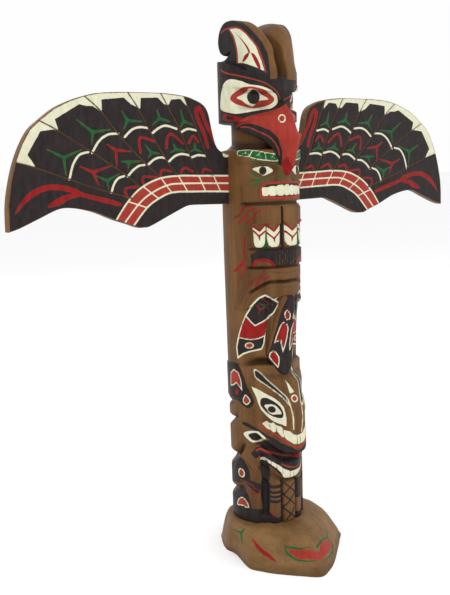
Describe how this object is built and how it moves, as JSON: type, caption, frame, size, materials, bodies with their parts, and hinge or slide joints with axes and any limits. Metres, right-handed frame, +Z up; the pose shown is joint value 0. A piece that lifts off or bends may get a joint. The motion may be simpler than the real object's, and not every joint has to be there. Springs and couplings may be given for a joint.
{
  "type": "totem pole",
  "caption": "Carved and painted wooden model totem pole with spread wings, standing by its own weight on a rough wooden mound.",
  "frame": {"origin": "on the floor under the log's axis, at the middle of the flat face the pole stands over", "axes": "+Z up the pole, -Y the way the figures face, +X towards the viewer's right wing when the pole is seen from the front"},
  "size_m": [0.74, 0.2188, 0.7353],
  "materials": {
    "carved_log": "stained, with hand-painted black, red, green and cream figures under a satin varnish",
    "wing_boards": "painted dark brown-black with cream, red and green feathers, bare stained edges",
    "base_wood": "brown stain with small red and green brush marks"
  },
  "bodies": {
    "root": {"base": "base_wood", "pole": "carved_log", "wing_right": "wing_boards", "wing_left": "wing_boards"}
  },
  "joints": []
}
